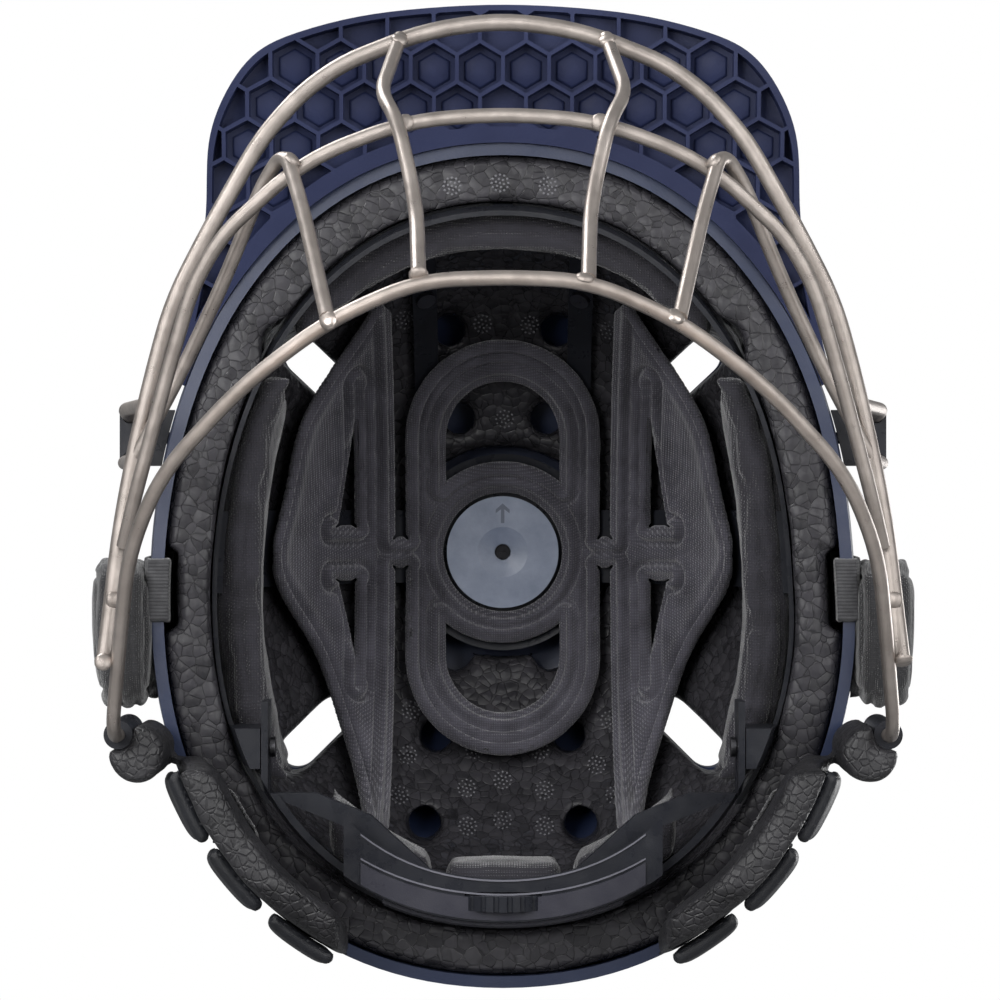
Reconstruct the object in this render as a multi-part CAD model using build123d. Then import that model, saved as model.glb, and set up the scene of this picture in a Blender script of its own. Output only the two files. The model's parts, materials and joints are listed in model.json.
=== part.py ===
from build123d import *
from functools import cache
from math import atan2, copysign, cos, degrees, pi, radians, sin, sqrt, tan
import os

# Frame while modelling: the rim plane is z = 0, the face looks along -Y, +Z goes up through the crown.
# The finished pieces are then pitched and lifted so that the part stands on its guard and neck guards.

# Helmet shell
shell_half_width = 109.0
shell_front = 142.0
shell_rear = 118.0
station_y = 30.0
crown_shift = 10.0
waist_height = 22.0
crown_height = 150.0
skirt_depth = 80.0
shell_wall = 3.5
section_power = 2.15
skirt_taper_share = 0.93
clearance = 0.3
running_play = 0.075
beyond = 420.0
outline_points = 16
dome_angles = (20, 38, 54, 68, 79)
surface_rounds = 12

# Layers inside the shell
liner_wall = 14.0
liner_rim_setback = 1.5
band_setback = 0.6
band_wall = 1.4
frame_setback = 2.2
frame_wall = 2.0
comfort_wall = 5.0
brow_wall = 10.0
side_wall = 9.0

# Rim: its height at the front and its drop at the ears and behind
rim_front_height = 2.0
rim_ear_drop = 14.0
rim_rear_drop = 7.0
# Places along the rim as shares of the way to the front or rear end, and of the ear drop
rim_front_shares = [(0.5, 0.35), (0, 0.92)]
rim_rear_shares = [(0.35, 1), (0.7, 0.85)]

# Peak
peak_reach = 38.0
peak_half_width = 94.0
peak_side_reach = 92.0
peak_plate = 2.4
peak_rib_depth = 5.6
peak_rib_wall = 1.15
peak_edge_wall = 1.6
peak_cell_pitch = 14.0
peak_arch = 17.0
peak_slope = 9.0
peak_top = 8.0
peak_slab_share = 1.3
peak_row_share = 0.55
peak_rows = 12
peak_columns = 8
cell_sides = 6

# Crown hub
hub_y = 18.0
hub_disc_radius = 19.3
hub_disc_wall = 4.0
hub_disc_height = 120.5
hub_neck_radius = 11.5
hub_bore_radius = 2.8
hub_cone_radius = 8.7
hub_cone_depth = 1.6
crown_hole_radius = 36.8
boss_radius = 14.0
boss_pilot_radius = 1.6
screw_radius = 1.9
screw_head_radius = 2.6
screw_length = 15.0

# Comfort pad and cradle frame
pad_ring_half_width = 32.0
pad_ring_front = 53.0
pad_ring_rear = 85.0
pad_window_half_width = 21.0
pad_window_margin = 11.0
pad_hub_land = 30.0
pad_hub_hole = 22.0
wing_inner = 38.3
wing_span = 74.0
wing_front = 64.0
wing_rear = 108.0
wing_window_width = 5.5
wing_window_x = 51.8
wing_window_front = 39.7
wing_window_rear = 62.6
crossbar_y = 18.0
crossbar_width = 8.0
strap_x = 26.0
strap_width = 8.0
strap_front = 80.0
strap_rivet_y = -67.2
side_strap_y = 16.0
side_strap_width = 25.0
side_strap_foot = 2.0
frame_ring_radius = 34.0

# Headband, brow pad and side pads
band_low = -6.0
band_high = 16.0
band_slot_low = 2.0
band_slot_high = 8.0
band_rear_y = 92.0
rib_width = 6.0
band_rib_shares = (-0.5, -0.12, 0.3, 0.66, 0.94)
band_rivet_shares = (-0.5, 0.66)
brow_half_width = 63.0
brow_rear_y = -46.0
brow_low = 0.0
brow_high = 34.0
side_pad_front_y = -36.0
side_pad_rear_y = 84.0
side_pad_low = -2.0
side_pad_high = 34.0
rivet_radius = 3.2
rivet_height = 1.3
rivet_reach = 17.0

# Rear fit system
housing_half_width = 47.0
housing_setback = 1.0
housing_wall = 12.0
housing_low = -30.0
housing_high = -5.0
housing_rear_y = 78.0
cover_wall = 1.6
cover_half_width = 36.0
cover_low = -26.0
cover_high = -9.0
dial_radius = 14.0
dial_width = 4.4
dial_proud = 5.0
dial_grooves = 22
dial_groove_radius = 0.9
dial_slot_margin = 0.9
shaft_radius = 2.0
shaft_length = 9.6
pinion_radius = 4.2
pinion_width = 1.8
pinion_teeth = 12
pinion_tooth = 0.9
arm_wall = 2.0
arm_width = 14.0
arm_front_y = 60.0
plate_x = 72.0
brace_width = 6.0
brace_wall = 3.0
brace_low = -20.5
brace_x = 41.0
brace_y = 96.5
brace_end_x = 24.0
brace_end_y = 112.0
pin_y = 74.0
pin_radius = 1.5
arm_tip_x = 37.0
skirt_lean = 3.6
arm_low = -22.0
nape_pad_wall = 14.0
nape_low = 2.0
nape_high = 26.0
nape_gap_half_width = 22.0
nape_pad_gap = 4.4
fit_travel = 10.0

# Face guard
guard_half_width = 111.5
guard_front = 137.0
guard_drop = 142.0
bar_radius = 2.0
top_bar_radius = 2.4
bend_share = 0.45
bracket_height = 12.0
bracket_drop = 9.0
bracket_length = 17.0
bracket_wall = 8.0
bracket_y = -19.0
loop_width = 16.0
loop_top_width = 12.0
loop_top = 10.0
loop_proud = 5.0
guard_screw_radius = 1.8
guard_screw_head = 3.6
guard_screw_head_height = 1.0
guard_screw_length = 18.0

# Chin strap
webbing_width = 19.0
webbing_wall = 1.5
webbing_y = 27.0
sleeve_width = 44.0
sleeve_y = 40.0
sleeve_wall = 14.0
sleeve_corner_radius = 11.2
sleeve_low = -24.0
sleeve_high = 40.0
anchor_bar_wall = 2.6
anchor_bar_height = 5.0
anchor_margin = 1.5
anchor_high = 24.0
notch_high = 26.0
webbing_rim_gap = 0.8

# Neck guards
hinge_x = 111.5
hinge_y = 68.0
neck_wall = 9.0
neck_low = -72.0
neck_high = -16.0
neck_proud = 0.25
neck_front_y = 76.0
neck_half_gap = 46.0
roll_radius = 8.5
roll_offset_y = 5.5
clip_wall = 2.15
clip_height = 13.0
block_wall = 4.5
block_margin = 8.0
block_gap = 2.5
block_count = 3
hook_wall = 1.0
hook_width = 26.0
roll_inward = 5.3
roll_low = -49.0
clip_play = 0.05
block_overlap = 40.0
block_high = 4.0
block_start_y = 84.0

# Standing attitude
pitch = 24.0

# Vents: places as shares of the shell's half width and front length
vent_shares = [(0.565, -0.3), (0.575, 0.55)]
vent_length = 28.0
vent_width = 12.0
round_vent_shares = [
    (0.17, -0.41), (0.14, -0.20), (0.15, 0.38), (0.21, 0.57), (0.24, 0.76),
]
round_vent_radius = 5.4

# Outlines: the peak's edge as shares of its half width and of its reach (forward) or side reach (back)
peak_outline_shares = [
    (0, -1), (0.254, -0.968), (0.451, -0.9), (0.648, -0.765), (0.78, -0.603), (0.877, -0.306),
    (0.938, 0.04), (0.95, 0.24), (0.985, 0.5), (1.06, 0.82),
]
# A wing of the comfort pad: shares of the wing span and of its front or rear length
wing_outer_shares = [
    (0.55, -1), (0.68, -0.78), (0.89, -0.36), (0.96, 0), (1, 0.13), (1, 0.22), (0.86, 0.43),
    (0.72, 0.68), (0.62, 0.88), (0.58, 1),
]

# Wires: shares of the guard's half width, front reach and drop
top_bar_shares = [
    (0, -0.997, -0.423), (0.202, -0.974, -0.423), (0.408, -0.908, -0.423), (0.513, -0.847, -0.424),
    (0.618, -0.75, -0.43), (0.756, -0.549, -0.437), (0.842, -0.408, -0.444), (0.894, -0.248, -0.451),
    (0.935, -0.093, -0.465), (0.968, 0.062, -0.479), (0.992, 0.248, -0.5), (0.999, 0.334, -0.535),
]
middle_bar_shares = [
    (0, -0.763, -0.711), (0.234, -0.749, -0.711), (0.487, -0.672, -0.704), (0.69, -0.526, -0.669),
    (0.764, -0.424, -0.648), (0.832, -0.251, -0.606), (0.922, 0, -0.549), (0.956, 0.094, -0.503),
]
bottom_bar_shares = [
    (0, -0.418, -1), (0.198, -0.411, -0.996), (0.403, -0.339, -0.979), (0.61, -0.219, -0.923),
    (0.816, -0.05, -0.824), (0.909, 0.107, -0.718), (0.957, 0.3, -0.563), (0.993, 0.46, -0.44),
    (1, 0.4964, -0.37), (1, 0.4964, -0.211),
]
inner_upright_shares = [
    (0.196, -0.415, -0.99), (0.207, -0.573, -0.824), (0.256, -0.745, -0.748), (0.301, -0.814, -0.655),
    (0.262, -0.958, -0.437),
]
outer_upright_shares = [
    (0.408, -0.345, -0.975), (0.479, -0.563, -0.789), (0.532, -0.695, -0.697),
    (0.592, -0.629, -0.648), (0.691, -0.447, -0.577), (0.813, -0.256, -0.507), (0.93, -0.09, -0.468),
]

# Depths of each layer below the shell's outer surface
liner_outer = shell_wall + clearance
liner_inner = liner_outer + liner_wall
band_outer = liner_inner + band_setback
band_inner = band_outer + band_wall
frame_outer = liner_inner + frame_setback
frame_inner = frame_outer + frame_wall
pad_outer = frame_inner + clearance
housing_outer = liner_inner + housing_setback
arm_outer = frame_outer
arm_inner = arm_outer + arm_wall
arm_high = arm_low + arm_width
arm_slot_width = 2 * (pin_radius + clearance)
arm_slot_length = fit_travel + arm_slot_width
hub_top = crown_height - frame_outer
neck_inner = neck_wall - neck_proud
clip_radius = bar_radius + clip_play + clip_wall


def station(height_share):
    """Y of a section's widest place, which moves forward a little towards the crown."""
    return station_y - crown_shift * height_share


def oval(half, front, rear, height, height_share):
    """A flat, closed section of the dome with its own reach to each end."""
    points = []
    for step in range(outline_points):
        turn = 2 * pi * step / outline_points
        across, along = cos(turn), sin(turn)
        reach = rear if along > 0 else front
        x = half * copysign(abs(across) ** (2 / section_power), across)
        y = station(height_share) + reach * copysign(abs(along) ** (2 / section_power), along)
        points.append((x, y, height))
    return make_face(Spline(*points, periodic=True))


def skirt_ring(depth, height, scale):
    """The dome's section at or below its widest height, set in from the outer surface by depth."""
    half, front, rear = (size * scale - depth for size in (shell_half_width, shell_front, shell_rear))
    return oval(half, front, rear, height, 0)


@cache
def dome(depth):
    """The solid inside the helmet's outer surface, set in by depth."""
    rise = crown_height - depth - waist_height
    sections = [skirt_ring(depth, -skirt_depth, skirt_taper_share), skirt_ring(depth, waist_height, 1)]
    for angle in dome_angles:
        share = sin(radians(angle))
        scale = cos(radians(angle))
        half, front, rear = ((size - depth) * scale for size in (shell_half_width, shell_front, shell_rear))
        sections.append(oval(half, front, rear, waist_height + rise * share, share))
    sections.append(Vertex(0, station(1), waist_height + rise))
    return loft(sections)


@cache
def layer(outer, inner):
    """The space between two depths."""
    return dome(outer) - dome(inner)


def span(x_low, x_high, y_low, y_high, z_low, z_high):
    """A box between two corners."""
    size = (x_high - x_low, y_high - y_low, z_high - z_low)
    middle = ((x_high + x_low) / 2, (y_high + y_low) / 2, (z_high + z_low) / 2)
    return Pos(*middle) * Box(*size)


def outward(side, inner=0):
    """The range of x from inner to beyond the part, on one side."""
    return sorted((side * inner, side * beyond))


def upper_half(piece):
    """What lies above the widest height."""
    return piece & span(-beyond, beyond, -beyond, beyond, waist_height, beyond)


def prism(outline):
    """A plan outline carried through the whole height."""
    return Pos(0, 0, -beyond / 2) * extrude(outline, beyond, dir=(0, 0, 1))


def flipped(piece):
    """The same piece on the other side."""
    return mirror(piece, about=Plane.YZ)


def surface_point(x, y, depth):
    """The point of the layer at that depth that lies over (x, y), and the way out there."""
    share = 0.5
    for _ in range(surface_rounds):
        reach = shell_rear if y > station(share) else shell_front
        across = abs(x) / (shell_half_width - depth)
        along = abs(y - station(share)) / (reach - depth)
        plan = (across ** section_power + along ** section_power) ** (1 / section_power)
        share = sqrt(max(0, 1 - plan ** 2))
    rise = crown_height - depth - waist_height
    height = waist_height + rise * share
    out = Vector(
        x / (shell_half_width - depth) ** 2,
        (y - station(share)) / (reach - depth) ** 2,
        (height - waist_height) / rise ** 2,
    )
    return Vector(x, y, height), out.normalized()


@cache
def rim_profile(rise):
    """Everything below the rim, whose edge dips at the ears; rise lifts the edge."""
    front = station_y - shell_front
    rear = station_y + shell_rear
    edge = [(front - shell_front, rim_front_height), (front, rim_front_height)]
    edge += [(front * along, -rim_ear_drop * down) for along, down in rim_front_shares]
    edge += [(rear * along, -rim_ear_drop * down) for along, down in rim_rear_shares]
    edge += [(rear, -rim_rear_drop), (rear + shell_rear, -rim_rear_drop)]
    edge = [(y, z + rise) for y, z in edge]
    first, last = edge[0], edge[-1]
    sides = Polyline(last, (last[0], -beyond), (first[0], -beyond), first)
    face = Plane.YZ * make_face([Spline(*edge), *sides.edges()])
    return extrude(face, beyond / 2, both=True)


def vent_cuts():
    """The four large openings that go right through, straight up and long towards the crown."""
    cuts = []
    for side in (-1, 1):
        for x_share, y_share in vent_shares:
            x, y = side * x_share * shell_half_width, y_share * shell_front
            turn = degrees(atan2(hub_y - y, -x))
            cuts.append(prism(Pos(x, y) * Rot(0, 0, turn) * SlotOverall(vent_length, vent_width)))
    return cuts


def round_vent_cuts():
    """The round holes of the foam, straight up."""
    cuts = []
    for side in (-1, 1):
        for x_share, y_share in round_vent_shares:
            place = Pos(side * x_share * shell_half_width, y_share * shell_front)
            cuts.append(prism(place * Circle(round_vent_radius)))
    return cuts


def make_shell():
    body = layer(0, shell_wall) - rim_profile(0)
    for cut in vent_cuts():
        body = body - cut
    for side in (-1, 1):
        body = body - guard_screw(side, clearance)
    return body


def make_liner():
    body = layer(liner_outer, liner_inner) - rim_profile(liner_rim_setback)
    body = body - prism(Pos(0, hub_y) * Circle(crown_hole_radius))
    for cut in vent_cuts() + round_vent_cuts():
        body = body - cut
    for side in (-1, 1):
        body = body - strap_notch(side) - guard_screw(side, clearance)
    return body


def peak_outline(inset):
    """The peak's edge in plan, closed behind inside the shell."""
    front = station_y - shell_front
    half = []
    for across, along in peak_outline_shares:
        reach = peak_reach if along < 0 else peak_side_reach
        half.append((across * (peak_half_width - inset), front + inset + along * reach))
    points = [(-x, y) for x, y in reversed(half[1:])] + half
    edge = Spline(*points)
    back = Polyline(points[-1], (0, station_y), points[0])
    return make_face([edge, *back.edges()])


def peak_slab(top, bottom):
    """An arched, forward sloping slab between two heights of the peak's middle."""
    front = station_y - shell_front
    drop = tan(radians(peak_slope))
    lift = -front * drop
    wide = peak_half_width * peak_slab_share
    sag = peak_arch * peak_slab_share ** 2
    faces = []
    for height in (top, bottom):
        arc = ThreePointArc((-wide, height + lift - sag), (0, height + lift), (wide, height + lift - sag))
        faces.append(arc)
    sides = [Line(faces[0] @ 0, faces[1] @ 0), Line(faces[0] @ 1, faces[1] @ 1)]
    face = Plane.XZ * make_face([*faces, *sides])
    ahead = Vector(0, -1, -drop).normalized()
    return extrude(face, beyond / 2, dir=ahead)


def peak_cells():
    """The hexagonal pockets of the peak in plan."""
    radius = (peak_cell_pitch - peak_rib_wall) / sqrt(3)
    row_pitch = peak_cell_pitch * sqrt(3) / 2
    front = station_y - shell_front - peak_reach
    cells = []
    for row in range(peak_rows):
        shift = peak_cell_pitch / 2 if row % 2 else 0
        for column in range(-peak_columns, peak_columns + 1):
            place = Pos(column * peak_cell_pitch + shift, front + (row + peak_row_share) * row_pitch)
            cells.append(place * RegularPolygon(radius, cell_sides, rotation=180 / cell_sides))
    return Sketch() + cells


def make_peak():
    body = prism(peak_outline(0)) & peak_slab(peak_top, peak_top - peak_plate - peak_rib_depth)
    body = body - dome(-clearance)
    shell_plan = skirt_ring(-clearance - peak_edge_wall, 0, 1)
    floor = peak_outline(peak_edge_wall) - shell_plan
    cells = [cell for cell in (peak_cells() & floor).faces() if cell.area > peak_rib_wall * peak_cell_pitch]
    pockets = prism(Sketch() + cells)
    pockets = pockets & peak_slab(peak_top - peak_plate, peak_top - peak_plate - peak_rib_depth * 2)
    body = body - pockets
    return max(body.solids(), key=lambda piece: piece.volume)


def post(x, y, radius, low, high):
    """An upright cylinder between two heights."""
    return Pos(x, y, (low + high) / 2) * Cylinder(radius, high - low)


def hub_cylinder(radius, low, high):
    return post(0, hub_y, radius, low, high)


def make_hub():
    body = hub_cylinder(hub_disc_radius, hub_disc_height, hub_disc_height + hub_disc_wall)
    body = body + hub_cylinder(hub_neck_radius, hub_disc_height, hub_top)
    place = Pos(0, hub_y, hub_disc_height + hub_cone_depth / 2)
    dish = place * Cone(hub_cone_radius, hub_bore_radius, hub_cone_depth)
    counterbore = hub_cylinder(hub_bore_radius, hub_disc_height, hub_top - hub_disc_wall)
    return body - dish - counterbore - hub_cylinder(screw_radius + running_play, hub_disc_height, hub_top)


def make_boss():
    body = hub_cylinder(boss_radius, hub_top + clearance, crown_height) & dome(liner_outer)
    return body - hub_cylinder(boss_pilot_radius, hub_top, hub_top + screw_length - hub_disc_wall)


def make_hub_screw():
    seat = hub_top - hub_disc_wall
    shank = hub_cylinder(screw_radius, seat, hub_top + clearance)
    tip = hub_cylinder(boss_pilot_radius, hub_top + clearance, hub_top + screw_length - hub_disc_wall)
    head = hub_cylinder(screw_head_radius, seat - screw_radius, seat)
    slot = Pos(0, hub_y, seat - screw_radius) * Box(screw_head_radius, screw_radius / 3, screw_radius)
    return shank + tip + head - slot


def ring_outline():
    middle = (pad_ring_rear - pad_ring_front) / 2
    length = pad_ring_front + pad_ring_rear
    return Pos(0, middle) * SlotOverall(length, 2 * pad_ring_half_width, rotation=90)


def ring_windows():
    middle = (pad_ring_rear - pad_ring_front) / 2
    length = pad_ring_front + pad_ring_rear - 2 * pad_window_margin
    inner = Pos(0, middle) * SlotOverall(length, 2 * pad_window_half_width, rotation=90)
    return inner - Pos(0, hub_y) * Circle(pad_hub_land)


def wing_outline(side):
    outer = []
    for across, along in wing_outer_shares:
        reach = wing_front if along < 0 else wing_rear
        outer.append((side * across * wing_span, along * reach))
    inner = [(side * wing_inner, wing_rear), (side * wing_inner, -wing_front)]
    edge = Spline(*outer)
    return make_face([edge, *Polyline(outer[-1], *inner, outer[0]).edges()])


def wing_windows(side):
    """Two narrow windows, each widest at the crossbar."""
    half = wing_window_width / 2
    windows = Sketch()
    for end, way in ((-wing_window_front, -1), (wing_window_rear, 1)):
        foot = crossbar_y + way * crossbar_width
        narrow = side * (wing_window_x - half)
        corners = [(narrow, end), (narrow, foot), (side * (wing_window_x + wing_window_width), foot)]
        windows = windows + make_face(Polyline(*corners, close=True).edges())
    return windows


def make_comfort_pad():
    plan = ring_outline() - ring_windows()
    bar = Pos(0, crossbar_y) * Rectangle(2 * wing_inner + crossbar_width, crossbar_width)
    plan = plan + bar
    for side in (-1, 1):
        plan = plan + (wing_outline(side) - wing_windows(side))
    plan = plan - Pos(0, hub_y) * Circle(pad_hub_hole)
    return prism(plan) & upper_half(layer(pad_outer, pad_outer + comfort_wall))


def make_cradle_frame():
    bar_length = 2 * shell_half_width
    plan = Pos(0, hub_y) * Circle(frame_ring_radius)
    plan = plan + Pos(0, side_strap_y) * Rectangle(bar_length, side_strap_width)
    for side in (-1, 1):
        length = strap_front + hub_y
        plan = plan + Pos(side * strap_x, hub_y - length / 2) * Rectangle(strap_width, length)
    plan = plan - Pos(0, hub_y) * Circle(hub_neck_radius + clearance)
    straps = prism(plan) & layer(frame_outer, frame_inner)
    return straps & span(-beyond, beyond, -beyond, beyond, side_strap_foot, beyond)


def make_headband():
    body = layer(band_outer, band_inner)
    low = span(-beyond, beyond, -beyond, band_rear_y, band_low, band_slot_low)
    high = span(-beyond, beyond, -beyond, band_rear_y, band_slot_high, band_high)
    keep = low + high
    for y_share in band_rib_shares:
        rib = (y_share * band_rear_y - rib_width / 2, y_share * band_rear_y + rib_width / 2)
        keep = keep + span(-beyond, beyond, *rib, band_low, band_high)
    keep = keep + span(-rib_width / 2, rib_width / 2, -beyond, 0, band_low, band_high)
    body = body & keep
    root = plate_x + clearance
    for side in (-1, 1):
        reach = (pin_y - rib_width, pin_y + rib_width)
        lug = span(*outward(side, root), *reach, arm_low, side_pad_low - clearance)
        body = body + (dome(band_outer) & lug)
        body = body - pin_cylinder(side, pin_radius, root, root + pin_radius * 2)
    return body


def make_brow_pad():
    body = layer(band_inner + clearance, band_inner + clearance + brow_wall)
    return body & span(-brow_half_width, brow_half_width, -beyond, brow_rear_y, brow_low, brow_high)


def make_side_pad(side):
    body = layer(pad_outer, pad_outer + side_wall)
    zone = span(*outward(side, wing_inner), side_pad_front_y, side_pad_rear_y, side_pad_low, side_pad_high)
    return body & zone


def rivet(x, y, height, depth):
    """A round head seated on a layer; height overrides the place over (x, y) on steep walls."""
    if height is None:
        point, out = surface_point(x, y, depth)
    else:
        point = Vector(x, y, height)
        out = Vector(x / shell_half_width ** 2, (y - station_y) / shell_front ** 2, 0).normalized()
    stem = extrude(Plane(origin=point, z_dir=out) * Circle(rivet_radius), rivet_reach, both=True)
    return stem & layer(depth + clearance, depth + clearance + rivet_height)


def make_cradle_rivets():
    heads = [rivet(side * strap_x, strap_rivet_y, None, frame_inner) for side in (-1, 1)]
    return Compound(children=[head.solid() for head in heads])


def make_band_rivets():
    height = (band_slot_high + band_high) / 2
    heads = []
    for side in (-1, 1):
        x = side * (shell_half_width - band_inner)
        heads += [rivet(x, y_share * band_rear_y, height, band_inner) for y_share in band_rivet_shares]
    return Compound(children=[head.solid() for head in heads])


def pin_cylinder(side, radius, inner, outer):
    """The pin of a rear arm, straight across between two distances from the middle."""
    height = (arm_low + arm_high) / 2
    return Pos(side * (inner + outer) / 2, pin_y, height) * Rot(0, 90, 0) * Cylinder(radius, outer - inner)


def make_arm_pins():
    """Pins from the headband's lugs through the slots of the rear arms."""
    face = plate_x - arm_wall - clearance
    root = plate_x + clearance + pin_radius * 2
    pins = []
    for side in (-1, 1):
        head = pin_cylinder(side, pin_radius * 2, face - pin_radius, face)
        pins.append((pin_cylinder(side, pin_radius, face, root) + head).solid())
    return Compound(children=pins)


def housing_zone(half, low, high):
    return span(-half, half, housing_rear_y, beyond, low, high)


def dial_centre():
    inner = station_y + shell_rear - housing_outer - housing_wall / 2 - skirt_lean
    return inner, housing_low - dial_proud + dial_radius


def dial_cylinder(radius, low, high):
    """A cylinder on the dial's axis, from low to high along it."""
    middle, height = dial_centre()
    place = Pos(0, middle + (low + high) / 2, height) * Rot(90, 0, 0)
    return place * Cylinder(radius, high - low)


def make_housing():
    body = layer(housing_outer, housing_outer + housing_wall)
    body = body & housing_zone(housing_half_width, housing_low, housing_high)
    half = dial_width / 2 + pinion_width / 2 + dial_slot_margin
    body = body - dial_cylinder(dial_radius + dial_slot_margin / 2, -half, half)
    body = body - dial_cylinder(shaft_radius + running_play, -shaft_length / 2, shaft_length / 2)
    slot = layer(arm_outer - clearance, arm_inner + clearance)
    slot = slot & span(-beyond, beyond, 0, beyond, arm_low - clearance, arm_high + clearance)
    body = body - (slot - span(-arm_tip_x, arm_tip_x, 0, beyond, -beyond, beyond))
    recess = housing_zone(cover_half_width, cover_low, cover_high)
    return body - (layer(0, housing_outer + cover_wall) & recess)


def make_cover():
    low, high = cover_low + clearance, cover_high - clearance
    outer = housing_outer - cover_wall / 2
    body = layer(outer, housing_outer + cover_wall - clearance)
    return body & housing_zone(cover_half_width - clearance, low, high)


def make_dial():
    low = -dial_width / 2 - pinion_width / 2
    body = dial_cylinder(dial_radius, low, low + dial_width)
    middle, height = dial_centre()
    for step in range(dial_grooves):
        turn = 2 * pi * step / dial_grooves
        x, rise = dial_radius * cos(turn), dial_radius * sin(turn)
        place = Pos(x, middle + low + dial_width / 2, height + rise) * Rot(90, 0, 0)
        body = body - place * Cylinder(dial_groove_radius, dial_width)
    return body - dial_cylinder(shaft_radius, low, low + dial_width)


def make_pinion():
    low = dial_width / 2 - pinion_width / 2 + clearance
    body = dial_cylinder(pinion_radius, low, low + pinion_width)
    middle, height = dial_centre()
    for step in range(pinion_teeth):
        turn = 360 * step / pinion_teeth
        tooth = Pos(0, middle + low + pinion_width / 2, height) * Rot(0, turn, 0)
        tooth = tooth * Pos(pinion_radius, 0, 0) * Box(2 * pinion_tooth, pinion_width, pinion_tooth)
        body = body + tooth
    return body - dial_cylinder(shaft_radius, low, low + pinion_width)


def make_shaft():
    return dial_cylinder(shaft_radius, -shaft_length / 2 + clearance, shaft_length / 2 - clearance)


def make_brace(side):
    """The flat bar that runs from the arm straight to the inner face of the housing."""
    start = (side * plate_x, pin_y + fit_travel)
    route = Polyline(start, (side * brace_x, brace_y), (side * brace_end_x, brace_end_y))
    bar = extrude(trace(route, brace_width), brace_wall)
    seat = layer(0, housing_outer + housing_wall + clearance)
    margin = housing_zone(housing_half_width + clearance, housing_low - clearance, housing_high)
    return (Pos(0, 0, brace_low) * bar & dome(arm_outer)) - (seat & margin)


def make_rear_arm(side):
    """A flat, slotted plate beside the pin, a strap that follows the liner, and a brace inside it."""
    rear = pin_y + rib_width + fit_travel
    heights = (arm_low, arm_high)
    strap = span(*outward(side, arm_tip_x + clearance), rear - arm_slot_width, beyond, *heights)
    plate = span(*sorted((side * (plate_x - arm_wall), side * plate_x)), arm_front_y, rear, *heights)
    body = (layer(arm_outer, arm_inner) & strap) + (plate & dome(arm_outer)) + make_brace(side)
    body = body - span(*outward(side, plate_x), arm_front_y, rear, *heights)
    inside = sorted((0, side * (plate_x - arm_wall)))
    past_pin = pin_y + fit_travel + pin_radius * 2 + clearance
    body = body - span(*inside, arm_front_y, past_pin, *heights)
    height = (arm_low + arm_high) / 2
    middle = pin_y + (arm_slot_length - arm_slot_width) / 2
    place = Pos(side * plate_x, middle, height) * Rot(0, 90, 0)
    outline = SlotOverall(arm_slot_length, arm_slot_width, rotation=90)
    return body - place * extrude(outline, arm_width, both=True)


def make_yoke():
    half = housing_half_width + rib_width
    body = layer(housing_outer + cover_wall, pad_outer - clearance)
    return body & housing_zone(half, housing_high, nape_high)


def make_nape_pad(number):
    """Three pads on the yoke: left, centre and right for -1, 0 and 1."""
    if number:
        reach = sorted((number * nape_gap_half_width, number * (housing_half_width + rib_width)))
    else:
        half = nape_gap_half_width - nape_pad_gap
        reach = (-half, half)
    body = layer(pad_outer, pad_outer + nape_pad_wall)
    return body & span(*reach, housing_rear_y, beyond, nape_low, nape_high)


def guard_point(shares):
    across, along, up = shares
    return Vector(across * guard_half_width, along * guard_front, up * guard_drop)


def wire(points, radius):
    """A bent round wire: straight runs joined by the largest tangent arcs that fit."""
    corners = []
    for before, here, after in zip(points, points[1:], points[2:]):
        first, second = here - before, after - here
        turn = radians(first.get_angle(second))
        corners.append(bend_share * min(first.length, second.length) / tan(turn / 2))
    path = FilletPolyline(*points, radius=corners)
    start = Plane(origin=path @ 0, z_dir=path % 0)
    return sweep(start * Circle(radius), path=path)


def full_bar(shares, radius):
    half = [guard_point(share) for share in shares]
    other = [Vector(-point.X, point.Y, point.Z) for point in reversed(half[1:])]
    return wire(other + half, radius)


def upright(shares, side):
    points = [guard_point(share) for share in shares]
    return wire([Vector(side * point.X, point.Y, point.Z) for point in points], bar_radius)


def top_bar_at(y):
    """The point of the top bar's run that lies at y, on the right."""
    points = [guard_point(share) for share in top_bar_shares]
    for first, second in zip(points, points[1:]):
        if first.Y <= y <= second.Y:
            return first + (second - first) * ((y - first.Y) / (second.Y - first.Y))


def mounting_loop(side, play=0):
    """A U of wire that rises from the top bar to the bracket on the temple, or the room it needs."""
    ends = [bracket_y - loop_width / 2, bracket_y + loop_width / 2]
    turns = [bracket_y - loop_top_width / 2, bracket_y + loop_top_width / 2]
    outer = shell_half_width + loop_proud
    feet = [top_bar_at(y) for y in ends]
    low = [Vector(outer, y, -rim_ear_drop) for y in ends]
    high = [Vector(outer, y, loop_top) for y in turns]
    points = [feet[0], low[0], high[0], high[1], low[1], feet[1]]
    return wire([Vector(side * point.X, point.Y, point.Z) for point in points], bar_radius + play)


def make_bracket(side):
    reach = sorted((0, side * (shell_half_width + bracket_wall)))
    half = bracket_length / 2
    low = loop_top - bracket_drop
    body = span(*reach, bracket_y - half, bracket_y + half, low, low + bracket_height)
    body = body - dome(-clearance)
    body = body - wire_groove(side) - mounting_loop(side, clearance)
    return body - guard_screw(side, clearance)


def wire_groove(side):
    """The bracket's channel for the loop, open towards the shell."""
    inner = side * (shell_half_width + loop_proud)
    reach = sorted((0, inner + side * (bar_radius + clearance)))
    half = bracket_length / 2
    low, high = loop_top - bar_radius - clearance, loop_top + bar_radius + clearance
    return span(*reach, bracket_y - half, bracket_y + half, low, high)


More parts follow.
